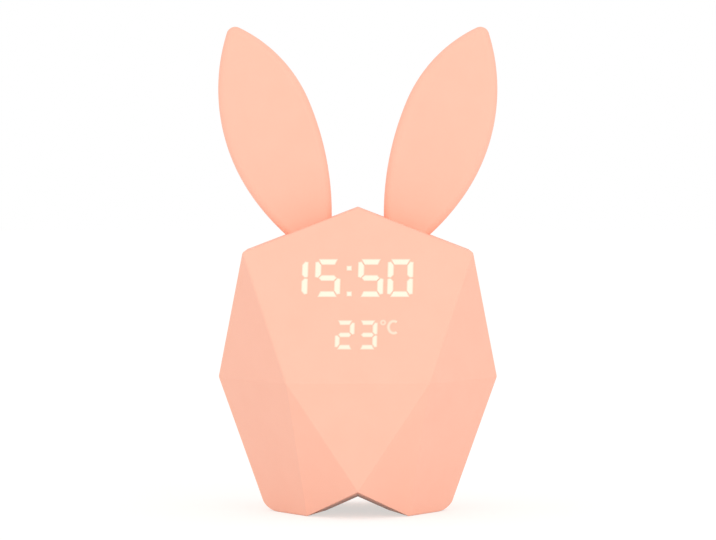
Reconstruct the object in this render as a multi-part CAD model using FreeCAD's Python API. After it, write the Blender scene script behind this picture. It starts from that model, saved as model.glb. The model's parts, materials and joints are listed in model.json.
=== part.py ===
import FreeCAD, Part
import math
import os
from FreeCAD import Placement, Rotation, Vector

# A faceted alarm clock with a night light, shaped like a sitting rabbit without a face.
# Millimetres, +Z up, the front looks along -Y, left and right are the viewer's.
# The origin is on the table, under the middle of the body.
# A soft skin covers two hard half shells, and the display shines through the skin.

os.makedirs("parts", exist_ok=True)

# Body corners: a regular hexagon at the waist, drawn in to the shoulders and the feet
waist_radius = 51.8
waist_height = 49.6
shoulder_radius = 48.7
shoulder_height = 96.6
crown_height = 112.9
heel_half_width = 34.1
toe_half_width = 18.9
toe_depth = 26.6
chin_depth = 43.0
chin_height = 10.3
arch_height = 5.1
edge_radius = 1.0
heel_radius = 7.0

# Walls and fits
skin_wall = 2.0
shell_wall = 2.2
slip = 0.3
hair = 0.05

# Ears: flat plates in the middle plane, outlined by arcs from the inner root over the tip
ear_root = 9.7
ear_root_heading = 91.5
ear_sink = 1.6
ear_thickness = 8.0
ear_edge_radius = 2.8
ear_inner_low = (108.0, 24.4)
ear_inner_high = (52.7, 41.6)
ear_tip = (3.3, 98.0)
ear_outer_high = (69.3, 51.7)
ear_outer_low = (84.0, 15.2)
ear_tab_width = 9.0
ear_tab_thickness = 4.4
ear_tab_lip = 1.8
ear_tab_middle = 17.4

# Display, measured up the slope from the waist edge of the front facet
display_low = 10.5
display_head = 20.0
display_high = shoulder_height - waist_height + 6.0
display_bend = display_high - display_head
display_half_width = 29.0
display_foot_half_width = 19.0
time_row = display_high - 11.5
time_digit_height = 15.0
time_digit_width = 9.2
time_cells = (-22.65, -10.98, 4.7, 15.5)
colon_place = -3.14
colon_spread = 9.4
dot_size = 1.9
warmth_row = display_low + 8.8
warmth_digit_height = 11.5
warmth_digit_width = 6.9
warmth_cells = (-4.75, 3.85)
letter_place = 12.6
letter_row = warmth_row + 2.5
letter_size = 5.6
segment_width = 2.0
segment_gap = 0.25
diffuser_thickness = 0.8
mask_thickness = 5.0
board_thickness = 1.2
display_tab = 5.4
display_screw_rows = (display_bend + 3.5, display_high - 3.5)
window_margin = 1.4
led_side = 1.2
led_height = 0.7

# Control panel and the board behind it, measured up the slope of the rear facet
panel_width = 52.0
panel_height = 28.0
panel_row = 32.0
panel_corner = 6.0
panel_sink = 0.6
panel_seat = 3.4
panel_screw_inset = 2.6
panel_screw_depth = 0.5
button_names = ("mode_button", "alarm_button", "down_button", "up_button", "light_button")
button_radius = 3.5
button_height = 1.4
button_travel = 0.8
button_flange = 0.7
flange_thickness = 0.8
stem_radius = 1.5
socket_rise = 3.6
slide_place = 11.0 - panel_width / 2
slide_travel = 3.0
slide_knob_width = 3.4
slide_knob_height = 3.2
slide_knob_rise = 1.3
slide_flange = 0.9
slide_tab = 1.4
slide_body_height = 4.5
usb_width = 8.9
usb_height = 3.3
usb_wall = 0.35
usb_depth = 6.5
usb_tongue = 0.7
reset_place = 10.5
reset_hole_radius = 0.8
vent_place = panel_width / 2 - 8.0
vent_count = 4
vent_pitch = 2.0
vent_width = 0.9
vent_length = 5.0
sensor_radius = 1.2
sensor_depth = 3.6
main_board_depth = 5.8
main_board_half_width = 31.0
main_board_foot_half_width = 24.0
main_board_low = 13.0
main_board_high = 51.0
main_board_thickness = 1.6
main_screw_inset = 3.2
tact_side = 6.0
tact_height = 2.0
plunger_radius = 1.7
plunger_height = 1.0
chip_height = 1.2
chips = ((-12.0, 36.0, 8.0), (2.0, 36.0, 6.0), (4.0, 24.0, 4.5))
crystal_radius = 1.5
crystal_length = 6.0
crystal_start = (-24.0, 36.0)

# Speaker behind the rear chin facet, measured from the waist edge
speaker_row = -13.0
speaker_radius = 11.5
speaker_depth = 4.0
magnet_radius = 7.5
magnet_depth = 3.6
grille_hole_radius = 0.9
grille_pitch = 3.4
speaker_rib = 1.6

# Battery, its tray and the light column on top of it
battery_length = 40.0
battery_width = 30.0
battery_height = 9.0
battery_floor = 13.0
battery_slack = 0.4
pad_thickness = 0.5
tray_end = 5.0
tray_side = 1.6
tray_cover = 1.6
column_radius = 10.0
column_wall = 1.6
column_foot = 1.6
column_foot_depth = 12.0
light_height = 66.0
light_board_radius = 13.0
light_led_count = 6
light_led_ring = 7.0
light_led_side = 3.0
light_led_height = 1.0
dome_wall = 1.2
dome_rise = 4.0

# Base plate, foot pads, fasteners and wires
base_half_length = 23.0
base_depth = 17.0
base_nose = 27.0
pad_length = 12.0
pad_width = 5.0
foot_pad_thickness = 1.0
foot_pad_place = 18.4
screw_radius = 1.0
screw_head_radius = 1.9
screw_head_height = 1.2
boss_radius = 2.6
base_screw_x = 17.5
base_screw_y = 12.5
base_screw_length = 7.0
base_boss_height = 10.0
case_screw_x = waist_radius - 9.8
case_screw_z = waist_height + 0.4
case_screw_length = 14.0
case_head_depth = 6.0
board_screw_length = 5.0
column_screw_length = 8.0
wire_radius = 0.6
wire_pitch = 1.6
bend_share = 0.45
lead_run = 8.0
lead_climb = 14.0
lead_inset = 4.0
light_lead_inset = 7.0
ribbon_width = 10.0
ribbon_thickness = 0.3
ribbon_place = 19.0
ribbon_row = 24.0
ribbon_sag = 8.0

waist_depth = waist_radius * math.cos(math.radians(30))
shoulder_half_width = shoulder_radius * math.cos(math.radians(30))
shoulder_depth = shoulder_radius / 2
facet_lean = (waist_depth - shoulder_depth) / (shoulder_height - waist_height)
crown_depth = waist_depth - facet_lean * (crown_height - waist_height)
inner_wall = skin_wall + shell_wall
reach = 300.0
panel_back = -skin_wall
main_board_front = -inner_wall - main_board_depth
main_board_back = main_board_front - main_board_thickness
diffuser_back = -inner_wall - diffuser_thickness
mask_back = diffuser_back - mask_thickness
display_board_back = mask_back - board_thickness
socket_row = panel_row - panel_height / 2 + panel_seat + socket_rise
battery_low = battery_floor + pad_thickness
tray_top = battery_low + battery_height + battery_slack
column_floor = tray_top + tray_cover
up = Vector(0, 0, 1)


def save(name, shape):
    """Write one sub-part."""
    shape.exportStep("parts/" + name + ".step")


def join(solids):
    """Fuse touching solids into one and drop the seams between them."""
    if len(solids) == 1:
        return solids[0]
    return solids[0].multiFuse(solids[1:]).removeSplitter()


def group(solids):
    """Separate solids that share one node."""
    return Part.makeCompound(solids)


def plane_through(a, b, c, inside):
    """Outward normal and distance of the plane of three points, seen from a point inside."""
    normal = (b - a).cross(c - a).normalize()
    if normal.dot(a - inside) < 0:
        normal = normal * -1
    return normal, normal.dot(a)


def mirrored(plane, flip_x, flip_y):
    """The same plane on another quarter of the body."""
    normal, distance = plane
    flipped = Vector(-normal.x if flip_x else normal.x, -normal.y if flip_y else normal.y, normal.z)
    return flipped, distance


def half_space(normal, distance):
    """A very large block that lies beyond a plane."""
    block = Part.makeBox(2 * reach, 2 * reach, 2 * reach, Vector(-reach, -reach, 0))
    block.Placement = Placement(normal * distance, Rotation(up, normal))
    return block


waist_front = Vector(waist_radius / 2, -waist_depth, waist_height)
waist_front_left = Vector(-waist_radius / 2, -waist_depth, waist_height)
waist_side = Vector(waist_radius, 0, waist_height)
shoulder_front = Vector(shoulder_half_width, -shoulder_depth, shoulder_height)
shoulder_back = Vector(shoulder_half_width, shoulder_depth, shoulder_height)
crown_front = Vector(0, -crown_depth, crown_height)
heel = Vector(heel_half_width, 0, 0)
toe = Vector(toe_half_width, -toe_depth, 0)
chin = Vector(0, -chin_depth, chin_height)
arch_middle = Vector(0, 0, arch_height)
body_middle = Vector(0, 0, waist_height)

quarter_planes = [
    plane_through(waist_front, waist_front_left, shoulder_front, body_middle),
    plane_through(waist_front, waist_side, shoulder_front, body_middle),
    plane_through(shoulder_front, shoulder_back, waist_side, body_middle),
    plane_through(crown_front, shoulder_front, shoulder_back, body_middle),
    plane_through(waist_front, waist_side, heel, body_middle),
    plane_through(waist_front, chin, toe, body_middle),
    plane_through(waist_front, waist_front_left, chin, body_middle),
]
heel_plane = quarter_planes[4]
arch_plane = plane_through(chin, toe, arch_middle, body_middle)


def facet_planes():
    """Every facet of the closed body, each once."""
    planes = [(Vector(0, 0, -1), 0.0)]
    for plane in quarter_planes:
        for flip_x in (False, True):
            for flip_y in (False, True):
                turned = mirrored(plane, flip_x, flip_y)
                if all((turned[0] - other[0]).Length > 1e-6 for other in planes):
                    planes.append(turned)
    return planes


def gem(inset, rounding=0.0):
    """The closed faceted body, drawn in by inset, its edges rounded."""
    solid = Part.makeBox(reach, reach, reach, Vector(-reach / 2, -reach / 2, -reach / 4))
    for normal, distance in facet_planes():
        solid = solid.cut(half_space(normal, distance - inset - rounding))
    if rounding:
        solid = solid.makeOffsetShape(rounding, 1e-3, False, False, 0, 0)
    return solid


def heel_corner(inset, flip_x):
    """What the rounded heel lacks of the sharp corner between the side edge and the floor."""
    radius = heel_radius - inset
    normal, distance = mirrored(heel_plane, flip_x, False)
    seen = math.hypot(normal.x, normal.z)
    side = Vector(normal.x / seen, 0, normal.z / seen)
    side_distance = (distance - inset) / seen
    centre = Vector((side_distance - radius - side.z * (inset + radius)) / side.x, 0, inset + radius)
    corner = Vector((side_distance - side.z * inset) / side.x, 0, inset)
    touch_floor = centre - up * radius
    touch_side = centre + side * radius
    half_way = (side - up).normalize()
    beyond = corner + half_way * radius
    edges = [
        Part.Arc(touch_floor, centre + half_way * radius, touch_side).toShape(),
        Part.LineSegment(touch_side, touch_side + side * radius).toShape(),
        Part.LineSegment(touch_side + side * radius, beyond).toShape(),
        Part.LineSegment(beyond, touch_floor - up * radius).toShape(),
        Part.LineSegment(touch_floor - up * radius, touch_floor).toShape(),
    ]
    face = Part.Face(Part.Wire(edges))
    face.translate(Vector(0, -waist_radius, 0))
    return face.extrude(Vector(0, 2 * waist_radius, 0))


def arch(inset, flip_y):
    """The tent-shaped space under one half of the body."""
    depth = 2 * chin_depth
    start = 0.0 if flip_y else -depth
    solid = Part.makeBox(2 * chin_depth, depth, chin_depth, Vector(-chin_depth, start, -chin_height))
    for flip_x in (False, True):
        normal, distance = mirrored(arch_plane, flip_x, flip_y)
        solid = solid.cut(half_space(normal * -1, inset - distance))
    return solid


def body(inset, rounding=0.0):
    """The faceted body drawn in by inset, with its heels rounded and its arch open."""
    solid = gem(inset, rounding)
    for flip_x in (False, True):
        solid = solid.cut(heel_corner(inset, flip_x))
    for flip_y in (False, True):
        solid = solid.cut(arch(inset, flip_y))
    return solid


outer_body = body(0.0, edge_radius)
hard_body = body(skin_wall)
inner_body = body(inner_wall)
roof_cutter = gem(0.0, edge_radius)


def slope_frame(origin, upward, outward):
    """A frame on a facet: u to the viewer's right, v up the slope, w out of the surface."""
    right = upward.cross(outward)
    return Placement(origin, Rotation(right, upward, outward, "ZXY"))


lean_length = math.hypot(1.0, facet_lean)
front_frame = slope_frame(
    Vector(0, -waist_depth, waist_height),
    Vector(0, facet_lean / lean_length, 1 / lean_length),
    Vector(0, -1 / lean_length, facet_lean / lean_length),
)
rear_frame = slope_frame(
    Vector(0, waist_depth, waist_height),
    Vector(0, -facet_lean / lean_length, 1 / lean_length),
    Vector(0, 1 / lean_length, facet_lean / lean_length),
)
chin_drop = Vector(0, waist_depth - chin_depth, waist_height - chin_height).normalize()
chin_frame = slope_frame(
    Vector(0, waist_depth, waist_height),
    chin_drop,
    Vector(0, chin_drop.z, -chin_drop.y),
)
flat_frame = Placement()


def block(frame, width, height, place, low, high, corner=0.0):
    """A block in a frame, centred on place, from low to high along the frame's third axis."""
    u, v = place
    solid = Part.makeBox(width, height, high - low, Vector(u - width / 2, v - height / 2, low))
    if corner:
        upright = [edge for edge in solid.Edges if abs(edge.tangentAt(0).z) > 0.9]
        solid = solid.makeFillet(corner, upright)
    solid.Placement = frame
    return solid


def rod(frame, radius, place, low, high):
    """A cylinder in a frame."""
    u, v = place
    solid = Part.makeCylinder(radius, high - low, Vector(u, v, low))
    solid.Placement = frame
    return solid


def plate(frame, outline, low, high):
    """A flat plate with straight sides in a frame."""
    points = [Vector(u, v, low) for u, v in outline]
    solid = Part.Face(Part.makePolygon(points + points[:1])).extrude(Vector(0, 0, high - low))
    solid.Placement = frame
    return solid


def screw(frame, place, seat, length, way):
    """A pan-head screw with a cross recess; its head rests at seat and its shank goes the way given."""
    head_end = seat - way * screw_head_height
    shank_end = seat + way * length
    head = rod(frame, screw_head_radius, place, min(head_end, seat), max(head_end, seat))
    shank = rod(frame, screw_radius, place, min(seat, shank_end), max(seat, shank_end))
    slot_end = head_end + way * screw_head_height / 2
    long_side = 1.3 * screw_head_radius
    short_side = screw_head_radius / 4
    solid = head.fuse(shank)
    for width, height in ((long_side, short_side), (short_side, long_side)):
        solid = solid.cut(block(frame, width, height, place,
                                min(head_end, slot_end), max(head_end, slot_end)))
    return solid


def cut_all(solid, tools):
    """Take several tools out of a solid."""
    for tool in tools:
        solid = solid.cut(tool)
    return solid


def button_places():
    """The middle of each button on the panel, as far apart as the shell's window allows."""
    side = panel_width / 2 - panel_seat - slip - button_radius - button_flange
    row = panel_row + panel_height / 2 - panel_seat - slip - button_radius - button_flange
    pitch = 2 * side / (len(button_names) - 1)
    return [(index * pitch - side, row) for index in range(len(button_names))]


def base_outline(margin):
    """The base plate's six-sided outline, drawn in by margin."""
    half = base_half_length - margin
    deep = base_depth - margin
    nose = base_nose - margin
    inner = toe_half_width / 2
    return [(-inner, -nose), (inner, -nose), (half, -deep / 2), (half, deep / 2),
            (inner, nose), (-inner, nose), (-half, deep / 2), (-half, -deep / 2)]


def base_prism(margin):
    """An upright prism with the base plate's outline, as high as the waist."""
    return plate(flat_frame, base_outline(margin), -skin_wall, waist_height / 2)


def display_outline(margin):
    """The display module's outline: wide for the time, narrower for the temperature."""
    half = display_half_width - margin
    foot = display_foot_half_width - margin
    return [(-foot, display_low + margin), (foot, display_low + margin),
            (half, display_bend), (half, display_high - margin),
            (-half, display_high - margin), (-half, display_bend)]


def display_screw_places():
    """The four screws in the display board's side tabs."""
    reach_out = display_half_width + display_tab / 2
    return [(side * reach_out, row) for side in (-1, 1) for row in display_screw_rows]


def main_board_outline():
    """The main board, narrower at its foot."""
    half = main_board_half_width
    foot = main_board_foot_half_width
    return [(-foot, main_board_low), (foot, main_board_low),
            (half, main_board_high), (-half, main_board_high)]


def main_screw_places():
    """The four screws near the main board's corners."""
    foot = main_board_foot_half_width - main_screw_inset
    half = main_board_half_width - main_screw_inset
    low = main_board_low + main_screw_inset
    high = main_board_high - main_screw_inset
    return [(-foot, low), (foot, low), (-half, high), (half, high)]


def panel_screw_places():
    """The four screws in the control panel's corners."""
    u = panel_width / 2 - panel_screw_inset
    v = panel_height / 2 - panel_screw_inset
    return [(du, panel_row + dv) for du in (-u, u) for dv in (-v, v)]


def base_screw_places():
    """The four screws through the base plate."""
    return [(x, y) for x in (-base_screw_x, base_screw_x) for y in (-base_screw_y, base_screw_y)]


def grille_places():
    """Holes in rings of six round a middle one."""
    places = [(0.0, speaker_row)]
    for ring in (1, 2):
        for index in range(6 * ring):
            angle = math.radians(60 / ring * index)
            places.append((
                ring * grille_pitch * math.cos(angle),
                speaker_row + ring * grille_pitch * math.sin(angle),
            ))
    return places


def vent_places():
    """The slits over the temperature sensor."""
    first = vent_place - (vent_count - 1) / 2 * vent_pitch
    return [(first + index * vent_pitch, socket_row) for index in range(vent_count)]


def roof_frame(side):
    """A frame on the roof under one ear, with u down the roof and w out of it."""
    slope = (crown_height - shoulder_height) / shoulder_half_width
    length = math.hypot(1.0, slope)
    origin = Vector(side * ear_tab_middle, 0, crown_height - slope * ear_tab_middle)
    outward = Vector(side * slope / length, 0, 1 / length)
    return Placement(origin, Rotation(Vector(outward.z, 0, -outward.x), Vector(0, 1, 0), outward, "ZXY"))


def ear_outline():
    """The right ear's wire in the middle plane, from the inner root round the tip and into the roof."""
    root_height = crown_height - ear_root * (crown_height - shoulder_height) / shoulder_half_width
    point = Vector(ear_root, 0, root_height - ear_sink)
    first = point
    heading = math.radians(ear_root_heading)
    edges = []
    for radius, sweep in (ear_inner_low, ear_inner_high, ear_tip, ear_outer_high, ear_outer_low):
        centre = point + Vector(math.sin(heading), 0, -math.cos(heading)) * radius
        turn = math.radians(sweep)
        half, full = [
            centre + Vector(-math.sin(heading - part), 0, math.cos(heading - part)) * radius
            for part in (turn / 2, turn)
        ]
        edges.append(Part.Arc(point, half, full).toShape())
        point = full
        heading -= turn
    low = Vector(ear_root, 0, point.z - inner_wall)
    corner = Vector(point.x, 0, low.z)
    edges.append(Part.LineSegment(point, corner).toShape())
    edges.append(Part.LineSegment(corner, low).toShape())
    edges.append(Part.LineSegment(low, first).toShape())
    return Part.Wire(edges)


def ear(side):
    """One soft ear with a tab that passes through the skin and shell and a lip that holds it."""
    face = Part.Face(ear_outline())
    face.translate(Vector(0, -ear_thickness / 2, 0))
    leaf = face.extrude(Vector(0, ear_thickness, 0))
    rims = [edge for edge in leaf.Edges
            if edge.Curve.TypeId == "Part::GeomCircle" and edge.BoundBox.YLength < hair]
    leaf = leaf.makeFillet(ear_edge_radius, rims)
    if side < 0:
        leaf = leaf.mirror(Vector(0, 0, 0), Vector(1, 0, 0))
    leaf = leaf.cut(roof_cutter)
    frame = roof_frame(side)
    tab = block(frame, ear_tab_width, ear_tab_thickness, (0, 0), -inner_wall - hair, edge_radius)
    lip_low = -inner_wall - hair - ear_tab_lip
    lip = block(frame, ear_tab_width + 2 * ear_tab_lip, ear_tab_thickness + 2 * ear_tab_lip, (0, 0),
                lip_low, -inner_wall - hair)
    return join([leaf, tab, lip])


def ear_slots(clearance):
    """The slots for both ear tabs."""
    slots = []
    for side in (-1, 1):
        slots.append(block(roof_frame(side), ear_tab_width + 2 * clearance,
                           ear_tab_thickness + 2 * clearance, (0, 0), -2 * inner_wall, inner_wall))
    return slots


def silicone_skin():
    """The soft outer skin, open at the base, the rear panel, the ears and the speaker."""
    panel_hole = block(rear_frame, panel_width + 2 * slip, panel_height + 2 * slip, (0, panel_row),
                       -inner_wall, inner_wall, panel_corner + slip)
    tools = [base_prism(-slip), panel_hole] + ear_slots(slip)
    for place in grille_places():
        tools.append(rod(chin_frame, grille_hole_radius, place, -inner_wall, inner_wall))
    return cut_all(outer_body.cut(hard_body), tools)


def case_rods(radius, low, high):
    """Cylinders along Y on the two case screw axes."""
    solids = []
    for side in (-1, 1):
        start = Vector(side * case_screw_x, low, case_screw_z)
        solids.append(Part.makeCylinder(radius, high - low, start, Vector(0, 1, 0)))
    return solids


def rods(frame, radius, places, low, high):
    """The same cylinder at several places of a frame."""
    return [rod(frame, radius, place, low, high) for place in places]


def shell(front, bosses):
    """One half of the hard shell with its bosses, still without holes."""
    keep = half_space(Vector(0, -1 if front else 1, 0), 0.0)
    wall = hard_body.cut(inner_body).common(keep)
    return join([wall] + [boss.common(hard_body) for boss in bosses])


def front_shell():
    """The hard front half with the display window and bosses."""
    low_screws = [place for place in base_screw_places() if place[1] < 0]
    bosses = rods(front_frame, boss_radius, display_screw_places(), mask_back, -skin_wall)
    bosses += rods(flat_frame, boss_radius, low_screws, 0.0, base_boss_height)
    bosses += case_rods(boss_radius + edge_radius, -waist_depth, 0.0)
    tools = [plate(front_frame, display_outline(window_margin), -inner_wall - hair, 0.0)]
    tools += rods(front_frame, screw_radius, display_screw_places(), mask_back,
                  display_board_back + board_screw_length)
    tools += rods(flat_frame, screw_radius, low_screws, 0.0, screw_head_height + base_screw_length)
    tools += case_rods(screw_radius, case_head_depth - case_screw_length, 0.0) + ear_slots(slip)
    return cut_all(shell(True, bosses), tools)


def rear_shell():
    """The hard rear half with the panel window, the speaker ring and bosses."""
    low_screws = [place for place in base_screw_places() if place[1] > 0]
    bosses = rods(rear_frame, boss_radius, main_screw_places(), main_board_front, -skin_wall)
    bosses += rods(flat_frame, boss_radius, low_screws, 0.0, base_boss_height)
    bosses += case_rods(boss_radius + edge_radius, 0.0, waist_depth)
    bosses += [rod(chin_frame, speaker_radius + slip + speaker_rib, (0, speaker_row),
                   -inner_wall - speaker_depth, -skin_wall)]
    window = block(rear_frame, panel_width - 2 * panel_seat, panel_height - 2 * panel_seat, (0, panel_row),
                   -inner_wall - hair, 0.0, panel_seat)
    speaker_room = rod(chin_frame, speaker_radius + slip, (0, speaker_row), -inner_wall - 2 * speaker_depth,
                       -inner_wall)
    tools = [window, speaker_room]
    tools += rods(chin_frame, grille_hole_radius, grille_places(), -2 * inner_wall, 0.0)
    tools += rods(rear_frame, screw_radius, main_screw_places(), main_board_front,
                  main_board_back + board_screw_length)
    tools += rods(rear_frame, screw_radius + hair, panel_screw_places(), -inner_wall - hair, 0.0)
    tools += rods(flat_frame, screw_radius, low_screws, 0.0, screw_head_height + base_screw_length)
    tools += case_rods(screw_radius + hair, 0.0, case_head_depth)
    tools += case_rods(screw_head_radius + slip, case_head_depth, waist_depth) + ear_slots(slip)
    return cut_all(shell(False, bosses), tools)


def foot_pad_blocks(low, high, grow):
    """The space of the pad under each foot."""
    return [block(flat_frame, pad_width + 2 * grow, pad_length + 2 * grow, (side * foot_pad_place, 0),
                  low, high, pad_width / 3) for side in (-1, 1)]


def base_plate():
    """The hard plate under the body, with pockets for the foot pads and the screw heads."""
    solid = body(0.0).cut(hard_body).common(base_prism(0.0))
    tools = foot_pad_blocks(-skin_wall, foot_pad_thickness, hair)
    tools += rods(flat_frame, screw_radius + hair, base_screw_places(), 0.0, inner_wall)
    tools += rods(flat_frame, screw_head_radius + slip, base_screw_places(), -skin_wall, screw_head_height)
    return cut_all(solid, tools)


def hexagon(place, length, width, upright):
    """One display segment: a bar with pointed ends."""
    u, v = place
    half = length / 2
    shoulder = half - width / 2
    bar = [(-half, 0), (-shoulder, width / 2), (shoulder, width / 2), (half, 0),
           (shoulder, -width / 2), (-shoulder, -width / 2)]
    if upright:
        bar = [(y, x) for x, y in bar]
    return [(u + x, v + y) for x, y in bar]


def digit_segments(place, width, height):
    """The seven segments of a digit: outline and middle of each."""
    u, v = place
    across = width / 2 - segment_width / 2
    rise = height / 2 - segment_width / 2
    found = []
    for row in (-1, 0, 1):
        middle = (u, v + row * rise)
        found.append((hexagon(middle, 2 * (across - segment_gap), segment_width, False), middle))
    for side in (-1, 1):
        for row in (-0.5, 0.5):
            middle = (u + side * across, v + row * rise)
            found.append((hexagon(middle, rise - 2 * segment_gap, segment_width, True), middle))
    return found


def display_cells():
    """Every light cell of the display: outline and middle."""
    cells = []
    for cell in time_cells:
        cells += digit_segments((cell, time_row), time_digit_width, time_digit_height)
    for cell in warmth_cells:
        cells += digit_segments((cell, warmth_row), warmth_digit_width, warmth_digit_height)
    for row in (-colon_spread / 2, colon_spread / 2):
        middle = (colon_place, time_row + row)
        cells.append((hexagon(middle, 2 * dot_size, dot_size, False), middle))
    letter = (letter_place, letter_row)
    cells.append((hexagon(letter, letter_size, letter_size, True), letter))
    return cells


def display_diffuser():
    """The opal sheet between the window and the light cells."""
    return plate(front_frame, display_outline(0.0), diffuser_back, -inner_wall)


def segment_mask():
    """The block that keeps the light of each segment apart."""
    solid = plate(front_frame, display_outline(0.0), mask_back, diffuser_back)
    cells = [plate(front_frame, outline, mask_back, diffuser_back) for outline, _ in display_cells()]
    return cut_all(solid, cells)


def display_board():
    """The display's circuit board with a tab for each screw."""
    solids = [plate(front_frame, display_outline(0.0), display_board_back, mask_back)]
    for u, v in display_screw_places():
        inward = u - math.copysign(display_tab / 2, u)
        solids.append(block(front_frame, 2 * display_tab, display_tab, (inward, v),
                            display_board_back, mask_back))
    holes = rods(front_frame, screw_radius + hair, display_screw_places(), display_board_back, mask_back)
    return cut_all(join(solids), holes)


def display_leds():
    """A small light-emitting chip behind each cell."""
    return group([block(front_frame, led_side, led_side, middle, mask_back, mask_back + led_height)
                  for _, middle in display_cells()])


def control_panel():
    """The hard plate on the back that holds the buttons, the slide and the socket."""
    solid = block(rear_frame, panel_width, panel_height, (0, panel_row),
                  panel_back, -panel_sink, panel_corner)
    tools = rods(rear_frame, button_radius + slip, button_places(), panel_back, 0.0)
    tools += [block(rear_frame, slide_knob_width + slide_travel + 2 * slip, slide_knob_height + 2 * slip,
                    (slide_place, socket_row), panel_back, 0.0)]
    tools += [usb_block(usb_wall + hair, panel_back, 0.0)]
    tools += [rod(rear_frame, reset_hole_radius, (reset_place, socket_row), panel_back, 0.0)]
    tools += [block(rear_frame, vent_width, vent_length, place, panel_back, 0.0, vent_width / 3)
              for place in vent_places()]
    tools += rods(rear_frame, screw_radius, panel_screw_places(), panel_back, -panel_sink - panel_screw_depth)
    return cut_all(solid, tools)


def button(place):
    """A round push button with a flange behind the panel and a stem for its switch."""
    stem_end = main_board_front + tact_height + plunger_height + button_travel + slip
    flange_front = panel_back - hair
    cap = rod(rear_frame, button_radius, place, flange_front, button_height - panel_sink)
    rim = [edge for edge in cap.Edges if edge.Closed]
    rim.sort(key=lambda edge: (rear_frame.inverse().multVec(edge.CenterOfMass)).z)
    cap = cap.makeFillet(button_height / 3, rim[-1:])
    flange = rod(rear_frame, button_radius + button_flange, place,
                 flange_front - flange_thickness, flange_front)
    stem = rod(rear_frame, stem_radius, place, stem_end, flange_front - flange_thickness)
    return join([cap, flange, stem])


def power_slider():
    """The ribbed knob of the on-off slide, its flange and the tab that works the switch."""
    middle = slide_place - slide_travel / 2
    place = (middle, socket_row)
    flange_front = panel_back - hair
    flange_back = flange_front - flange_thickness
    top = slide_knob_rise - panel_sink
    knob = block(rear_frame, slide_knob_width, slide_knob_height, place, flange_front, top)
    groove_width = slide_knob_width / 7
    for index in (-1, 0, 1):
        groove_place = (middle + 2 * index * groove_width, socket_row)
        groove = block(rear_frame, groove_width, slide_knob_height, groove_place, top - groove_width, top)
        knob = knob.cut(groove)
    flange = block(rear_frame, slide_knob_width + 2 * slide_flange, slide_knob_height + 2 * slide_flange,
                   place, flange_back, flange_front)
    tab = block(rear_frame, slide_tab, slide_tab, place,
                main_board_front + slide_body_height / 2, flange_back)
    return join([knob, flange, tab])


def power_switch():
    """The slide switch on the main board, with a slot for the slider's tab."""
    width = slide_travel + slide_tab + 4 * slip + 2 * tray_side
    solid = block(rear_frame, width, slide_knob_height, (slide_place, socket_row),
                  main_board_front, main_board_front + slide_body_height)
    slot_width = slide_travel + slide_tab + 2 * slip
    slot = block(rear_frame, slot_width, slide_tab + 2 * slip, (slide_place, socket_row),
                 main_board_front + slide_body_height / 2 - slip, main_board_front + slide_body_height)
    return solid.cut(slot)


def usb_block(grow, low, high):
    """A block with the socket's rounded section, grown all round."""
    return block(rear_frame, usb_width + 2 * grow, usb_height + 2 * grow, (0, socket_row), low, high,
                 usb_height / 2 - hair)


def usb_socket():
    """The charging socket: a metal sleeve with a tongue inside."""
    mouth = -panel_sink
    sleeve = usb_block(usb_wall, main_board_front, mouth).cut(usb_block(0.0, mouth - usb_depth, mouth))
    tongue = block(rear_frame, usb_width - 2 * usb_height / 2, usb_tongue, (0, socket_row),
                   mouth - usb_depth, mouth - 2 * usb_tongue)
    return join([sleeve, tongue])


def tact_switch(place):
    """A square switch with a round plunger."""
    top = main_board_front + tact_height
    can = block(rear_frame, tact_side, tact_side, place, main_board_front, top)
    return join([can, rod(rear_frame, plunger_radius, place, top, top + plunger_height)])


def temperature_sensor():
    """A bead on two legs behind the vent slits."""
    place = (vent_place, socket_row)
    bead_low = -inner_wall - sensor_depth / 2
    bead = rod(rear_frame, sensor_radius, place, bead_low, -inner_wall)
    legs = [block(rear_frame, wire_radius, wire_radius, (vent_place + side * wire_radius, socket_row),
                  main_board_front, bead_low) for side in (-1, 1)]
    return join([bead] + legs)


def main_board():
    """The main circuit board behind the control panel."""
    solid = plate(rear_frame, main_board_outline(), main_board_back, main_board_front)
    return cut_all(solid, rods(rear_frame, screw_radius + hair, main_screw_places(), main_board_back,
                               main_board_front))


def board_chips():
    """The clock, memory and sound chips on the inner side of the main board."""
    return group([block(rear_frame, side, side, (u, v), main_board_back - chip_height, main_board_back)
                  for u, v, side in chips])


def clock_crystal():
    """The crystal can, lying on the main board beside the clock chip."""
    u, v = crystal_start
    can = Part.makeCylinder(crystal_radius, crystal_length, Vector(u, v, main_board_back - crystal_radius),
                            Vector(1, 0, 0))
    can.Placement = rear_frame
    return can


def speaker():
    """A small round loudspeaker: a basket and a magnet."""
    front = -inner_wall
    back = front - speaker_depth
    place = (0, speaker_row)
    return join([rod(chin_frame, speaker_radius, place, back, front),
                 rod(chin_frame, magnet_radius, place, back - magnet_depth, back)])


def battery_room(grow, low, high):
    """A block over the battery's length and width, grown all round."""
    return block(flat_frame, battery_length + 2 * grow, battery_width + 2 * grow, (0, 0), low, high)


def tray_half_length():
    """From the middle to the outer face of the tray's end."""
    return battery_length / 2 + battery_slack + tray_end


def battery_tray():
    """The tray on the shell's floor, shaped to it underneath, with room for the bosses."""
    solid = block(flat_frame, 2 * tray_half_length(), battery_width + 2 * (battery_slack + tray_side), (0, 0),
                  0.0, tray_top).common(inner_body)
    tools = [battery_room(battery_slack, battery_floor, tray_top)]
    tools += rods(flat_frame, boss_radius + slip, base_screw_places(), 0.0, base_boss_height + slip)
    tools += rods(flat_frame, screw_radius, column_screw_places(),
                  column_floor + column_foot - column_screw_length, tray_top)
    lead_place = (-battery_length / 3, battery_width / 2)
    tools += [block(flat_frame, 2 * wire_pitch + 2 * slip, battery_width, lead_place,
                    battery_low + battery_height / 3, tray_top)]
    return cut_all(solid, tools)


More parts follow.
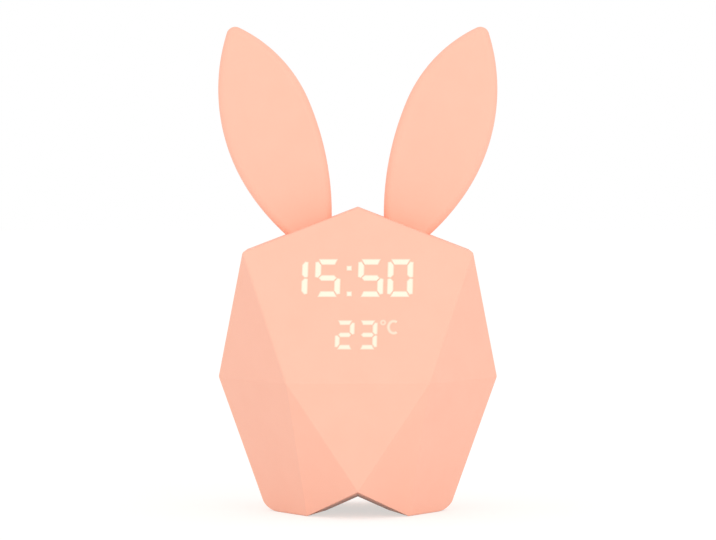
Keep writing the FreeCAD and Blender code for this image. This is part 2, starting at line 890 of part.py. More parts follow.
def foam_pad():
    """The foam strip under the battery."""
    return battery_room(0.0, battery_floor, battery_low)


def battery_pack():
    """The flat rechargeable cell in its wrap."""
    solid = battery_room(0.0, battery_low, battery_low + battery_height)
    upright = [edge for edge in solid.Edges if abs(edge.tangentAt(0).z) > 0.9]
    return solid.makeFillet(tray_side, upright)


def column_screw_places():
    """The two screws through the column's foot and the cover into the tray's ends."""
    reach_out = tray_half_length() - tray_end / 2
    return [(-reach_out, 0.0), (reach_out, 0.0)]


def battery_cover():
    """The lid on the tray, which also carries the light column."""
    solid = block(flat_frame, 2 * tray_half_length(), battery_width + 2 * (battery_slack + tray_side), (0, 0),
                  tray_top, column_floor)
    holes = rods(flat_frame, screw_radius + hair, column_screw_places(), tray_top, column_floor)
    return cut_all(solid, holes)


def light_column():
    """The hollow column that carries the night light."""
    foot_top = column_floor + column_foot
    foot = block(flat_frame, 2 * tray_half_length(), column_foot_depth, (0, 0), column_floor, foot_top)
    tube = rod(flat_frame, column_radius, (0, 0), column_floor, light_height)
    bore = rod(flat_frame, column_radius - column_wall, (0, 0), column_floor, light_height)
    holes = rods(flat_frame, screw_radius + hair, column_screw_places(), column_floor, foot_top)
    return cut_all(join([foot, tube]), holes + [bore])


def night_light_board():
    """The round board on top of the column."""
    return rod(flat_frame, light_board_radius, (0, 0), light_height, light_height + board_thickness)


def night_light_leds():
    """A ring of light-emitting chips."""
    low = light_height + board_thickness
    solids = []
    for index in range(light_led_count):
        angle = 2 * math.pi * index / light_led_count
        place = (light_led_ring * math.cos(angle), light_led_ring * math.sin(angle))
        solids.append(block(flat_frame, light_led_side, light_led_side, place, low, low + light_led_height))
    return group(solids)


def dome(radius, low, rise):
    """A short cylinder closed by half a ball."""
    return rod(flat_frame, radius, (0, 0), low, low + rise).fuse(
        Part.makeSphere(radius, Vector(0, 0, low + rise), up, 0, 90, 360))


def light_dome():
    """The opal dome over the night light's chips."""
    low = light_height + board_thickness
    solid = dome(light_board_radius, low, dome_rise)
    return solid.cut(dome(light_board_radius - dome_wall, low, dome_rise)).removeSplitter()


def wire(points):
    """A thin round wire along straight runs joined by arcs as large as the runs allow."""
    corners = []
    for before, point, after in zip(points, points[1:], points[2:]):
        run_in = point - before
        run_out = after - point
        turn = run_in.getAngle(run_out)
        trim = min(run_in.Length, run_out.Length) * bend_share
        back = run_in.normalize()
        ahead = run_out.normalize()
        start = point - back * trim
        finish = point + ahead * trim
        bisector = (ahead - back).normalize()
        radius = trim / math.tan(turn / 2)
        middle = point + bisector * (radius / math.cos(turn / 2) - radius)
        corners.append((start, middle, finish))
    edges = []
    place = points[0]
    for start, middle, finish in corners:
        edges.append(Part.LineSegment(place, start).toShape())
        edges.append(Part.Arc(start, middle, finish).toShape())
        place = finish
    edges.append(Part.LineSegment(place, points[-1]).toShape())
    profile = Part.Wire(Part.makeCircle(wire_radius, points[0], points[1] - points[0]))
    return Part.Wire(edges).makePipeShell([profile], True, True)


def wire_pair(points):
    """Two wires side by side along X."""
    offsets = (Vector(-wire_pitch / 2, 0, 0), Vector(wire_pitch / 2, 0, 0))
    return group([wire([point + offset for point in points]) for offset in offsets])


def battery_leads():
    """From the battery's side, out of the tray and up to the main board."""
    x = -battery_length / 3
    side = battery_width / 2
    height = battery_low + battery_height / 2
    row = main_board_low + lead_inset
    return wire_pair([
        Vector(x, side, height),
        Vector(x, side + lead_run, height),
        Vector(x, side + lead_run + 2 * wire_pitch, height + lead_climb),
        rear_frame.multVec(Vector(-x, row, main_board_back - lead_run)),
        rear_frame.multVec(Vector(-x, row, main_board_back)),
    ])


def speaker_leads():
    """From the speaker's basket up to the main board."""
    u = (speaker_radius + magnet_radius) / 2
    basket_back = -inner_wall - speaker_depth
    row = main_board_low + lead_inset
    return wire_pair([
        chin_frame.multVec(Vector(u, speaker_row, basket_back)),
        chin_frame.multVec(Vector(u, speaker_row, basket_back - lead_run)),
        rear_frame.multVec(Vector(u, row, main_board_back - lead_run)),
        rear_frame.multVec(Vector(u, row, main_board_back)),
    ])


def light_leads():
    """From the rim of the night light's board to the main board."""
    x = (column_radius + light_board_radius) / 2 + wire_pitch / 4
    row = main_board_low + light_lead_inset
    return wire_pair([
        Vector(x, 0, light_height),
        Vector(x, 0, light_height - lead_run),
        rear_frame.multVec(Vector(-x, row, main_board_back - lead_run)),
        rear_frame.multVec(Vector(-x, row, main_board_back)),
    ])


def display_ribbon():
    """The flat cable that hangs between the display board and the main board."""
    start = front_frame.multVec(Vector(ribbon_place, ribbon_row, display_board_back - slip))
    finish = rear_frame.multVec(Vector(-ribbon_place, ribbon_row, main_board_back - slip))
    low_point = (start + finish) * 0.5 - up * ribbon_sag
    drop = up * ribbon_thickness
    face = Part.Face(Part.Wire([
        Part.Arc(start, low_point, finish).toShape(),
        Part.LineSegment(finish, finish - drop).toShape(),
        Part.Arc(finish - drop, low_point - drop, start - drop).toShape(),
        Part.LineSegment(start - drop, start).toShape(),
    ]))
    face.translate(Vector(-ribbon_width / 2, 0, 0))
    return face.extrude(Vector(ribbon_width, 0, 0))


def case_screws():
    """The two long screws that hold the shells together."""
    solids = []
    for side in (-1, 1):
        frame = Placement(Vector(side * case_screw_x, 0, case_screw_z), Rotation(up, Vector(0, 1, 0)))
        solids.append(screw(frame, (0, 0), case_head_depth, case_screw_length, -1))
    return group(solids)


def screws(frame, places, seat, length, way):
    """A node of identical screws."""
    return group([screw(frame, place, seat, length, way) for place in places])


save("silicone_skin", silicone_skin())
save("front_shell", front_shell())
save("rear_shell", rear_shell())
save("base_plate", base_plate())
save("foot_pads", group(foot_pad_blocks(0.0, foot_pad_thickness, 0.0)))
save("left_ear", ear(-1))
save("right_ear", ear(1))
save("display_diffuser", display_diffuser())
save("segment_mask", segment_mask())
save("display_leds", display_leds())
save("display_board", display_board())
save("control_panel", control_panel())
for button_name, button_place in zip(button_names, button_places()):
    save(button_name, button(button_place))
save("power_slider", power_slider())
save("power_switch", power_switch())
save("button_switches", group([tact_switch(place) for place in button_places()]))
save("reset_switch", tact_switch((reset_place, socket_row)))
save("usb_socket", usb_socket())
save("temperature_sensor", temperature_sensor())
save("main_board", main_board())
save("board_chips", board_chips())
save("clock_crystal", clock_crystal())
save("speaker", speaker())
save("battery_tray", battery_tray())
save("foam_pad", foam_pad())
save("battery_pack", battery_pack())
save("battery_cover", battery_cover())
save("light_column", light_column())
save("night_light_board", night_light_board())
save("night_light_leds", night_light_leds())
save("light_dome", light_dome())
save("battery_leads", battery_leads())
save("speaker_leads", speaker_leads())
save("light_leads", light_leads())
save("display_ribbon", display_ribbon())
save("base_screws", screws(flat_frame, base_screw_places(), screw_head_height, base_screw_length, 1))
save("case_screws", case_screws())
save("panel_screws", screws(rear_frame, panel_screw_places(), -inner_wall,
                            inner_wall - panel_sink - panel_screw_depth, 1))
save("main_board_screws", screws(rear_frame, main_screw_places(), main_board_back, board_screw_length, 1))
save("display_screws", screws(front_frame, display_screw_places(), display_board_back, board_screw_length, 1))
save("column_screws", screws(flat_frame, column_screw_places(), column_floor + column_foot,
                             column_screw_length, -1))
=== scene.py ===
import json
import math

import bmesh
import bpy
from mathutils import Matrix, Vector


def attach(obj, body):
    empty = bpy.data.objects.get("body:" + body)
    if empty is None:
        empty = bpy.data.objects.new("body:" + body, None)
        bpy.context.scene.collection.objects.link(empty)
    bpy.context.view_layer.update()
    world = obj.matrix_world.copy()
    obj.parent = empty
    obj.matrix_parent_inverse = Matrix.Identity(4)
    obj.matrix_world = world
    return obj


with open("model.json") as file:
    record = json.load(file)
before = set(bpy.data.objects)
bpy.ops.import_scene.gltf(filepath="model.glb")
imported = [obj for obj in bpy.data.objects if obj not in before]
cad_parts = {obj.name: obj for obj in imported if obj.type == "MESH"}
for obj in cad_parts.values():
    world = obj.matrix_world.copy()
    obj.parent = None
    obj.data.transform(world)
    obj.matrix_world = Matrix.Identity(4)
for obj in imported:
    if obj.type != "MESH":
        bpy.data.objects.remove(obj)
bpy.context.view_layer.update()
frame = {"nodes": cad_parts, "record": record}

# Metres. The front looks along -Y. Sizes that the part gives in millimetres are written so, times MM.
MM = 0.001

# Facets of the body that the pieces here lie on
waist_radius = 51.8 * MM
waist_height = 49.6 * MM
shoulder_radius = 48.7 * MM
shoulder_height = 96.6 * MM
waist_depth = waist_radius * math.cos(math.radians(30))
facet_lean = (waist_depth - shoulder_radius / 2) / (shoulder_height - waist_height)
facet_length = math.hypot(1.0, facet_lean)
skin_lift = 0.04 * MM
panel_sink = 0.6 * MM

# Camera, set from the horizon and the scale of the photograph
image_width = 716
image_height = 540
camera_distance = 1.5
camera_height = 0.130
horizon_row = 161.0
middle_column = 357.8
focal_pixels = 4035.0
sensor_width = 36.0
far_limit = 50.0

# Light and floor
world_level = 0.90
lamp_target = (0, 0, 0.08)
key_place = (1.1, -1.8, 0.7)
key_size = 1.2
key_power = 8.0
fill_place = (-1.5, -1.6, 0.6)
fill_size = 1.6
fill_power = 5.2
floor_reach = 6.0
floor_cells = 8
floor_bounce = 0.93
floor_shade = 0.46
floor_lift = 0.61
floor_warmth = (1, 0.99, 0.965, 1)
floor_gap = 0.02 * MM

# Colours, linear
peach = (1.0, 0.538, 0.402)
peach_deep = (0.99, 0.525, 0.390)
ink = (0.55, 0.21, 0.14)
ink_deep = (0.50, 0.19, 0.125)
cream_light = (1.0, 0.99, 0.80)
ivory = (0.90, 0.86, 0.76)
board_green = (0.012, 0.10, 0.045)
board_green_light = (0.018, 0.13, 0.06)
track_green = (0.05, 0.24, 0.11)

# Surfaces: scales count the cells in a metre, and the rest are the shader's own levels
cloud_low = 0.3
cloud_high = 0.7
cloud_detail = 3.0
grain_detail = 2.0
wander_detail = 4.0
bump_strength = 0.6
skin_cloud = 90.0
skin_grain = 5200.0
skin_grain_height = 0.012 * MM
skin_shine = 0.25
skin_roughness = (0.62, 0.72)
skin_wander = 400.0
skin_sheen = 0.05
plastic_cloud = 60.0
plastic_grain = 3000.0
plastic_spread = 0.06
plastic_wander = 250.0
scratch_scale = 900.0
scratch_stretch = 12.0
metal_cloud = 500.0
metal_shade = 0.85
metal_smoother = 0.08
metal_rougher = 0.12
track_scale = 160.0
track_width = 0.05
track_grain = 800.0
track_height = 0.02 * MM
board_roughness = 0.35
glow_cloud = 400.0
glow_shade = 0.96
glow_roughness = 0.6

# Lit digits, in millimetres on the front facet: across from the middle, up from the waist edge
time_row = 41.15
time_height = 14.7
time_width = 9.2
time_stroke = 2.05
time_digits = ((-22.9, "1"), (-10.98, "5"), (4.7, "5"), (15.5, "0"))
colon_column = -3.14
colon_rows = (45.0, 34.9)
colon_size = 1.65
warmth_row = 18.9
warmth_height = 11.1
warmth_width = 6.9
warmth_stroke = 1.6
warmth_digits = ((-4.75, "2"), (3.55, "3"))
letter_column = 13.05
letter_row = 21.9
letter_height = 5.6
letter_width = 4.8
letter_stroke = 0.95
ring_column = 9.2
ring_row = 23.7
ring_radius = 0.75
ring_stroke = 0.55
bar_gap = 0.26
halo = 0.62
slant = 0.03

# Cuts at the ends of a digit's bars, as shares of the stroke, and the last but one of the gap
flat_cut = 0.5
upright_cut = 0.45
upright_foot = 0.1
upright_tip = 0.35
upright_gap = 0.8
middle_cut = 0.55

# How bright the smaller signs are, the open arc of the letter in degrees, and the arcs' steps
warmth_level = 0.92
letter_level = 0.6
letter_start = 55
letter_sweep = 250
arc_steps = 28
sharpest_corner = 0.5

# Marks printed on the control panel: millimetres on the rear facet, and the print's height
mark_size = 1.15
mark_stroke = 0.32
mark_lift = 0.05 * MM
join_within = 0.05
circle_steps = 24
mark_row = 44.0
socket_mark_row = 29.3
button_pitch = 9.05
slide_column = -15.0
slide_mark_spread = 3.2
sharpest_bend = 0.45
sun_ray_count = 8
sun_ray_start = 0.65


def new_material(name):
    """A material, its node tree and its principled shader."""
    material = bpy.data.materials.new(name)
    material.use_nodes = True
    tree = material.node_tree
    shader = tree.nodes["Principled BSDF"]
    return material, tree, shader


def noise_node(tree, scale, detail=cloud_detail, coordinates=None):
    """Noise in the object's own space, or in the coordinates given."""
    noise = tree.nodes.new("ShaderNodeTexNoise")
    noise.inputs["Scale"].default_value = scale
    noise.inputs["Detail"].default_value = detail
    tree.links.new(coordinates or object_coordinates(tree), noise.inputs["Vector"])
    return noise


def object_coordinates(tree):
    """The object coordinates of a material's tree."""
    found = [node for node in tree.nodes if node.type == "TEX_COORD"]
    node = found[0] if found else tree.nodes.new("ShaderNodeTexCoord")
    return node.outputs["Object"]


def between(tree, factor, low, high):
    """A value that runs from low to high with the factor."""
    spread = tree.nodes.new("ShaderNodeMapRange")
    spread.inputs["To Min"].default_value = low
    spread.inputs["To Max"].default_value = high
    tree.links.new(factor, spread.inputs["Value"])
    return spread.outputs["Result"]


def add_colour(tree, shader, low, high, scale):
    """A soft cloud of two near colours."""
    noise = noise_node(tree, scale)
    ramp = tree.nodes.new("ShaderNodeValToRGB")
    ramp.color_ramp.elements[0].position = cloud_low
    ramp.color_ramp.elements[0].color = (*low, 1)
    ramp.color_ramp.elements[1].position = cloud_high
    ramp.color_ramp.elements[1].color = (*high, 1)
    tree.links.new(noise.outputs["Fac"], ramp.inputs["Fac"])
    tree.links.new(ramp.outputs["Color"], shader.inputs["Base Color"])


def add_bump(tree, shader, scale, height, kind="noise"):
    """A fine grain in the surface, of soft noise or of round cells."""
    if kind == "noise":
        source = noise_node(tree, scale, grain_detail).outputs["Fac"]
    else:
        cells = tree.nodes.new("ShaderNodeTexVoronoi")
        cells.inputs["Scale"].default_value = scale
        tree.links.new(object_coordinates(tree), cells.inputs["Vector"])
        source = cells.outputs["Distance"]
    bump = tree.nodes.new("ShaderNodeBump")
    bump.inputs["Strength"].default_value = bump_strength
    bump.inputs["Distance"].default_value = height
    tree.links.new(source, bump.inputs["Height"])
    tree.links.new(bump.outputs["Normal"], shader.inputs["Normal"])


def add_roughness(tree, shader, low, high, scale):
    """Roughness that wanders between two values."""
    noise = noise_node(tree, scale, wander_detail)
    tree.links.new(between(tree, noise.outputs["Fac"], low, high), shader.inputs["Roughness"])


def silicone(name, base, shade):
    """Matt silicone: a very fine grain and a soft sheen."""
    material, tree, shader = new_material(name)
    add_colour(tree, shader, shade, base, skin_cloud)
    add_roughness(tree, shader, *skin_roughness, skin_wander)
    add_bump(tree, shader, skin_grain, skin_grain_height)
    shader.inputs["Specular IOR Level"].default_value = skin_shine
    shader.inputs["Sheen Weight"].default_value = skin_sheen
    return material


def plastic(name, base, shade, rough=0.45, grain=0.01, grain_scale=plastic_grain):
    """Moulded plastic with a fine spark-eroded grain."""
    material, tree, shader = new_material(name)
    add_colour(tree, shader, shade, base, plastic_cloud)
    add_roughness(tree, shader, rough - plastic_spread, rough + plastic_spread, plastic_wander)
    add_bump(tree, shader, grain_scale, grain * MM, kind="cells")
    return material


def metal(name, base, rough=0.3):
    """Metal with fine scratches along one way."""
    material, tree, shader = new_material(name)
    stretch = tree.nodes.new("ShaderNodeMapping")
    stretch.inputs["Scale"].default_value = (1.0, 1.0, scratch_stretch)
    tree.links.new(object_coordinates(tree), stretch.inputs["Vector"])
    noise = noise_node(tree, scratch_scale, wander_detail, stretch.outputs["Vector"])
    spread = between(tree, noise.outputs["Fac"], rough - metal_smoother, rough + metal_rougher)
    tree.links.new(spread, shader.inputs["Roughness"])
    dark = tuple(metal_shade * value for value in base)
    add_colour(tree, shader, dark, base, metal_cloud)
    shader.inputs["Metallic"].default_value = 1.0
    return material


def circuit(name):
    """Solder mask over copper tracks: a grid of lanes with a fine grain."""
    material, tree, shader = new_material(name)
    brick = tree.nodes.new("ShaderNodeTexBrick")
    brick.inputs["Scale"].default_value = track_scale
    brick.inputs["Mortar Size"].default_value = track_width
    brick.inputs["Color1"].default_value = (*board_green, 1)
    brick.inputs["Color2"].default_value = (*board_green_light, 1)
    brick.inputs["Mortar"].default_value = (*track_green, 1)
    tree.links.new(object_coordinates(tree), brick.inputs["Vector"])
    tree.links.new(brick.outputs["Color"], shader.inputs["Base Color"])
    add_bump(tree, shader, track_grain, track_height)
    shader.inputs["Roughness"].default_value = board_roughness
    return material


def glowing(name, colour, strength):
    """A lit face: its own light, plus a plain surface under it."""
    material, tree, shader = new_material(name)
    add_colour(tree, shader, tuple(glow_shade * value for value in colour), colour, glow_cloud)
    shader.inputs["Roughness"].default_value = glow_roughness
    shader.inputs["Emission Color"].default_value = (*colour, 1)
    shader.inputs["Emission Strength"].default_value = strength
    return material


materials = {
    "silicone": silicone("soft silicone", peach, peach_deep),
    "shell_plastic": plastic("shell plastic", ivory, (0.84, 0.80, 0.70)),
    "base_plastic": plastic("base plastic", (0.95, 0.50, 0.36), (0.90, 0.46, 0.33), rough=0.5),
    "foot_rubber": silicone("foot rubber", (0.72, 0.38, 0.28), (0.66, 0.34, 0.25)),
    "panel_plastic": plastic("panel plastic", (0.96, 0.51, 0.37), (0.92, 0.48, 0.34), rough=0.48),
    "button_plastic": plastic("button plastic", (0.95, 0.88, 0.76), (0.91, 0.84, 0.72),
                              rough=0.38, grain=0.004),
    "opal_plastic": plastic("opal plastic", (0.93, 0.92, 0.86), (0.9, 0.89, 0.83), rough=0.5),
    "white_plastic": plastic("white plastic", (0.82, 0.82, 0.79), (0.78, 0.78, 0.75)),
    "led": glowing("lit chip", (1.0, 0.9, 0.6), 0.6),
    "circuit_board": circuit("circuit board"),
    "black_plastic": plastic("black plastic", (0.012, 0.012, 0.013), (0.02, 0.02, 0.021),
                             rough=0.5),
    "plated_steel": metal("plated steel", (0.60, 0.60, 0.61)),
    "foam": plastic("foam", (0.05, 0.05, 0.052), (0.03, 0.03, 0.03),
                    rough=0.9, grain=0.15, grain_scale=900.0),
    "battery_wrap": metal("battery wrap", (0.55, 0.57, 0.60), rough=0.42),
    "wire_cover": plastic("wire cover", (0.55, 0.02, 0.015), (0.48, 0.015, 0.012),
                          rough=0.4, grain=0.005),
}


def dress_nodes():
    """Every node of the part gets the material of its slot."""
    slots = {row["node"]: row["material_slot"] for row in frame["record"]["subparts"]}
    for name, node in frame["nodes"].items():
        node.data.materials.clear()
        node.data.materials.append(materials[slots[name]])


def piece_from(name, mesh, material, body):
    """Make a mesh a piece of the object that rides on a body."""
    data = bpy.data.meshes.new(name)
    mesh.to_mesh(data)
    mesh.free()
    data.materials.append(material)
    piece = bpy.data.objects.new(name, data)
    bpy.context.collection.objects.link(piece)
    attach(piece, body)
    return piece


# The bars of each digit that is shown: a at the top, then on clockwise to f, and g in the middle
segments_of = {
    "0": "abcdef", "1": "bc", "2": "abdeg", "3": "abcdg", "5": "acdfg",
}


def bar_outline(letter, width, height, stroke):
    """The outline of one segment of a digit, round the digit's middle."""
    w = width / 2
    h = height / 2
    t = stroke
    g = bar_gap
    flat_end = w - g - flat_cut * t
    flat_inner = w - t - g / 2
    flat = [(-flat_end, h), (flat_end, h), (flat_inner, h - t), (-flat_inner, h - t)]
    upright = [(w, h - g - upright_cut * t), (w, g + upright_foot * t), (w - t / 2, g / 2),
               (w - t, t / 2 + g), (w - t, h - t - upright_gap * g),
               (w - t / 2, h - upright_tip * t - g)]
    middle_end = w - g - middle_cut * t
    middle_side = w - t - g
    middle = [(-middle_end, 0), (-middle_side, t / 2), (middle_side, t / 2),
              (middle_end, 0), (middle_side, -t / 2), (-middle_side, -t / 2)]
    mirror = {
        "a": (flat, 1, 1), "d": (flat, 1, -1), "g": (middle, 1, 1), "b": (upright, 1, 1),
        "c": (upright, 1, -1), "f": (upright, -1, 1), "e": (upright, -1, -1),
    }
    outline, flip_x, flip_y = mirror[letter]
    points = [(x * flip_x, y * flip_y) for x, y in outline]
    return points if flip_x * flip_y > 0 else points[::-1]


def front_point(u, v, lift):
    """To the part's frame from the front facet: across and up in millimetres, off it in metres."""
    return Vector((
        u * MM,
        -waist_depth + (v * MM * facet_lean - lift) / facet_length,
        waist_height + (v * MM + lift * facet_lean) / facet_length,
    ))


def rear_point(u, v, lift):
    """The same on the rear facet, where across runs to the right as seen from behind."""
    place = front_point(-u, v, lift)
    return Vector((place.x, -place.y, place.z))


def inset_outline(points, amount):
    """A closed outline drawn in by an amount, corner by corner; a negative one grows it."""
    count = len(points)
    pairs = list(zip(points, points[1:] + points[:1]))
    area = sum(here[0] * after[1] - after[0] * here[1] for here, after in pairs)
    way = 1.0 if area > 0 else -1.0
    result = []
    for index in range(count):
        before = Vector(points[index - 1])
        here = Vector(points[index])
        after = Vector(points[(index + 1) % count])
        along_in = (here - before).normalized()
        along_out = (after - here).normalized()
        normal = Vector((-along_in.y - along_out.y, along_in.x + along_out.x)) * way
        normal.normalize()
        reach = max(sharpest_corner, normal.dot(Vector((-along_in.y, along_in.x)) * way))
        result.append(tuple(here + normal * (amount / reach)))
    return result


def add_lit_shape(mesh, layer, points, level):
    """A lit area with a soft rim: the core is fully lit and the outline fades to nothing."""
    core = inset_outline(points, halo / 2)
    rim = inset_outline(points, -halo / 2)
    core_verts = [mesh.verts.new(front_point(u, v, skin_lift)) for u, v in core]
    rim_verts = [mesh.verts.new(front_point(u, v, skin_lift)) for u, v in rim]
    face = mesh.faces.new(core_verts)
    for loop in face.loops:
        loop[layer] = (level, level, level, 1)
    count = len(points)
    for index in range(count):
        after = (index + 1) % count
        corners = (core_verts[index], rim_verts[index], rim_verts[after], core_verts[after])
        quad = mesh.faces.new(corners)
        for loop in quad.loops:
            value = level if loop.vert in (core_verts[index], core_verts[after]) else 0.0
            loop[layer] = (value, value, value, 1)


def add_lit_arc(mesh, layer, centre, radii, stroke, start, sweep, level):
    """A lit stroke along part of an oval, with soft sides."""
    outer = (stroke + halo) / 2
    inner = (stroke - halo) / 2
    offsets = (-outer, -inner, inner, outer)
    values = (0.0, level, level, 0.0)
    rows = []
    for step in range(arc_steps + 1):
        angle = math.radians(start + sweep * step / arc_steps)
        row = []
        for offset in offsets:
            u = centre[0] + (radii[0] + offset) * math.cos(angle)
            v = centre[1] + (radii[1] + offset) * math.sin(angle)
            row.append(mesh.verts.new(front_point(u, v, skin_lift)))
        rows.append(row)
    for first, second in zip(rows, rows[1:]):
        for lane in range(3):
            quad = mesh.faces.new((first[lane], first[lane + 1], second[lane + 1], second[lane]))
            for loop in quad.loops:
                lane_of = (first + second).index(loop.vert) % 4
                value = values[lane_of]
                loop[layer] = (value, value, value, 1)


def lit_display():
    """The time and the temperature as they glow through the skin."""
    mesh = bmesh.new()
    layer = mesh.loops.layers.float_color.new("glow")
    rows = (
        (time_digits, time_row, time_width, time_height, time_stroke, 1.0),
        (warmth_digits, warmth_row, warmth_width, warmth_height, warmth_stroke, warmth_level),
    )
    for digits, row, width, height, stroke, level in rows:
        for column, digit in digits:
            for letter in segments_of[digit]:
                outline = bar_outline(letter, width, height, stroke)
                leaned = [(column + x + slant * y, row + y) for x, y in outline]
                add_lit_shape(mesh, layer, leaned, level)
    half = colon_size / 2
    for row in colon_rows:
        square = [(colon_column - half, row - half), (colon_column + half, row - half),
                  (colon_column + half, row + half), (colon_column - half, row + half)]
        add_lit_shape(mesh, layer, square, 1.0)
    letter = (letter_column, letter_row)
    radii = ((letter_width - letter_stroke) / 2, (letter_height - letter_stroke) / 2)
    add_lit_arc(mesh, layer, letter, radii, letter_stroke, letter_start, letter_sweep, letter_level)
    ring = (ring_column, ring_row)
    radii = (ring_radius, ring_radius)
    add_lit_arc(mesh, layer, ring, radii, ring_stroke, 0, 360, letter_level)
    bmesh.ops.recalc_face_normals(mesh, faces=mesh.faces)
    for face in mesh.faces:
        if face.normal.y > 0:
            face.normal_flip()
    piece = piece_from("lit_display", mesh, lit_material(), "case")


def lit_material():
    """Silicone that fades into light where the display shines through it."""
    material, tree, shader = new_material("light through silicone")
    add_colour(tree, shader, peach_deep, peach, skin_cloud)
    add_bump(tree, shader, skin_grain, skin_grain_height)
    shader.inputs["Roughness"].default_value = sum(skin_roughness) / 2
    shader.inputs["Specular IOR Level"].default_value = skin_shine
    glow = tree.nodes.new("ShaderNodeVertexColor")
    glow.layer_name = "glow"
    light = tree.nodes.new("ShaderNodeEmission")
    light.inputs["Color"].default_value = (*cream_light, 1)
    light.inputs["Strength"].default_value = 1.0
    mix = tree.nodes.new("ShaderNodeMixShader")
    tree.links.new(glow.outputs["Color"], mix.inputs["Fac"])
    tree.links.new(shader.outputs["BSDF"], mix.inputs[1])
    tree.links.new(light.outputs["Emission"], mix.inputs[2])
    output = tree.nodes["Material Output"]
    tree.links.new(mix.outputs["Shader"], output.inputs["Surface"])
    return material


def circle(radius):
    """A closed ring of points, which ends where it starts."""
    angles = [2 * math.pi * step / circle_steps for step in range(circle_steps + 1)]
    return [(radius * math.cos(angle), radius * math.sin(angle)) for angle in angles]


def sun_rays():
    """Short rays round a lamp."""
    rays = []
    for index in range(sun_ray_count):
        angle = 2 * math.pi * index / sun_ray_count
        across = math.cos(angle)
        up = math.sin(angle)
        rays.append([(sun_ray_start * across, sun_ray_start * up), (across, up)])
    return rays


# Each mark is a few lines inside a square that reaches from -1 to 1
clock_mark = [circle(1.0), [(0.0, 0.62), (0.0, 0.0), (0.45, -0.22)]]
bell_mark = [
    [(-1.0, -0.62), (-0.7, -0.3), (-0.62, 0.42), (0.0, 1.0), (0.62, 0.42), (0.7, -0.3), (1.0, -0.62),
     (-1.0, -0.62)],
    [(-0.22, -0.92), (0.22, -0.92)],
]
minus_mark = [[(-0.8, 0.0), (0.8, 0.0)]]
plus_mark = minus_mark + [[(0.0, -0.8), (0.0, 0.8)]]
sun_mark = [circle(0.4)] + sun_rays()
bolt_mark = [[(0.35, 1.0), (-0.35, -0.05), (0.3, 0.05), (-0.35, -1.0)]]
off_mark = [circle(0.6)]
on_mark = [[(0.0, -0.62), (0.0, 0.62)]]


def add_line(mesh, points):
    """A raised printed line along open or closed points of the rear facet."""
    places = [Vector(point) for point in points]
    runs = [(after - before).normalized() for before, after in zip(places, places[1:])]
    closed = (places[0] - places[-1]).length < join_within
    runs_in = [runs[-1] if closed else runs[0]] + runs
    runs_out = runs + [runs[0] if closed else runs[-1]]
    low = -panel_sink
    high = mark_lift - panel_sink
    rows = []
    for here, along_in, along_out in zip(places, runs_in, runs_out):
        across = Vector((-along_in.y, along_in.x))
        side = (across + Vector((-along_out.y, along_out.x))).normalized()
        reach = side * (mark_stroke / 2 / max(sharpest_bend, side.dot(across)))
        row = []
        for way, lift in ((-1, low), (-1, high), (1, high), (1, low)):
            u = here.x + way * reach.x
            v = here.y + way * reach.y
            row.append(mesh.verts.new(rear_point(u, v, lift)))
        rows.append(row)
    for first, second in zip(rows, rows[1:]):
        for lane in range(3):
            mesh.faces.new((first[lane], second[lane], second[lane + 1], first[lane + 1]))


def panel_marks():
    """The small marks over the buttons, the slide and the socket."""
    mesh = bmesh.new()
    button_marks = (clock_mark, bell_mark, minus_mark, plus_mark, sun_mark)
    placed = [(mark, (index - 2) * button_pitch, mark_row) for index, mark in enumerate(button_marks)]
    placed.append((bolt_mark, 0.0, socket_mark_row))
    placed.append((off_mark, slide_column - slide_mark_spread, socket_mark_row))
    placed.append((on_mark, slide_column + slide_mark_spread, socket_mark_row))
    for lines, column, row in placed:
        for line in lines:
            add_line(mesh, [(column + mark_size * x, row + mark_size * y) for x, y in line])
    bmesh.ops.recalc_face_normals(mesh, faces=mesh.faces)
    print_material = plastic("printed ink", ink, ink_deep, rough=0.5, grain=0.002)
    piece = piece_from("panel_marks", mesh, print_material, "case")


def make_floor():
    """A plain pale floor that shows white to the camera and keeps the shadow."""
    mesh = bmesh.new()
    bmesh.ops.create_grid(mesh, x_segments=floor_cells, y_segments=floor_cells, size=floor_reach)
    data = bpy.data.meshes.new("floor")
    mesh.to_mesh(data)
    mesh.free()
    floor = bpy.data.objects.new("floor", data)
    bpy.context.collection.objects.link(floor)
    data.materials.append(floor_material())
    floor.location.z = -floor_gap


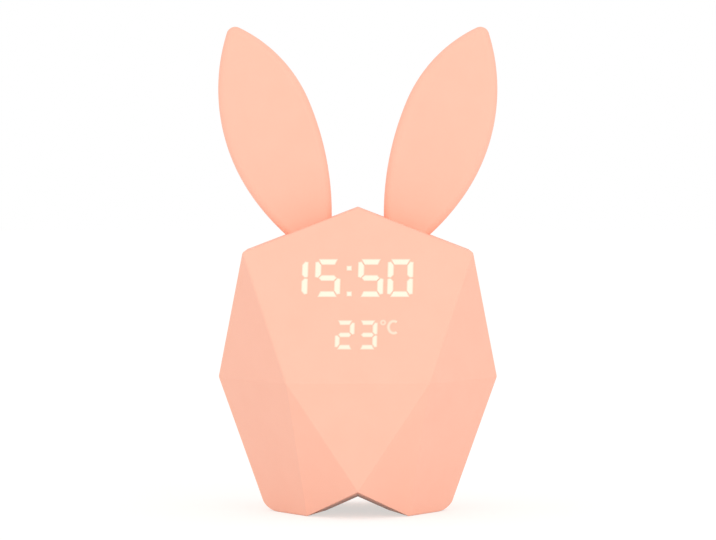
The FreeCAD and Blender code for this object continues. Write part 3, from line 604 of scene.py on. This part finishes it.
def eye_ray(tree):
    """One for rays that the camera sees directly or in a gloss, else nought."""
    path = tree.nodes.new("ShaderNodeLightPath")
    seen = tree.nodes.new("ShaderNodeMath")
    seen.operation = "MAXIMUM"
    tree.links.new(path.outputs["Is Camera Ray"], seen.inputs[0])
    tree.links.new(path.outputs["Is Glossy Ray"], seen.inputs[1])
    return seen.outputs["Value"]


def floor_material():
    """Matt and pale; where the camera looks it is lifted to white, and its shadow with it."""
    material, tree, shader = new_material("pale floor")
    shader.inputs["Roughness"].default_value = 1.0
    shader.inputs["Specular IOR Level"].default_value = 0.0
    shader.inputs["Emission Color"].default_value = floor_warmth
    seen = eye_ray(tree)
    tree.links.new(between(tree, seen, floor_bounce, floor_shade), shader.inputs["Base Color"])
    tree.links.new(between(tree, seen, 0.0, floor_lift), shader.inputs["Emission Strength"])
    return material


def make_world():
    """Even white light, and plain white behind the object."""
    world = bpy.data.worlds.new("world")
    bpy.context.scene.world = world
    world.use_nodes = True
    tree = world.node_tree
    background = tree.nodes["Background"]
    background.inputs["Color"].default_value = (1, 1, 1, 1)
    tree.links.new(between(tree, eye_ray(tree), world_level, 1.0), background.inputs["Strength"])


def make_lamp(name, place, size, power):
    """A soft square lamp that looks at the object."""
    data = bpy.data.lights.new(name, "AREA")
    data.shape = "SQUARE"
    data.size = size
    data.energy = power
    lamp = bpy.data.objects.new(name, data)
    lamp.location = place
    lamp.rotation_euler = (Vector(lamp_target) - Vector(place)).to_track_quat("-Z", "Y").to_euler()
    bpy.context.collection.objects.link(lamp)


def make_camera():
    """The photograph's view: its scale, its height and the place of its horizon."""
    data = bpy.data.cameras.new("camera")
    data.sensor_width = sensor_width
    data.lens = focal_pixels * sensor_width / image_width
    data.clip_end = far_limit
    camera = bpy.data.objects.new("camera", data)
    tilt = math.atan((image_height / 2 - horizon_row) / focal_pixels)
    sideways = (image_width / 2 - middle_column) / focal_pixels * camera_distance
    camera.location = (sideways, -camera_distance, camera_height)
    camera.rotation_euler = (math.pi / 2 - tilt, 0, 0)
    bpy.context.collection.objects.link(camera)
    bpy.context.scene.camera = camera


make_camera()
dress_nodes()
lit_display()
panel_marks()
make_floor()
make_world()
make_lamp("key", key_place, key_size, key_power)
make_lamp("fill", fill_place, fill_size, fill_power)

bpy.context.scene.view_settings.view_transform = "Standard"
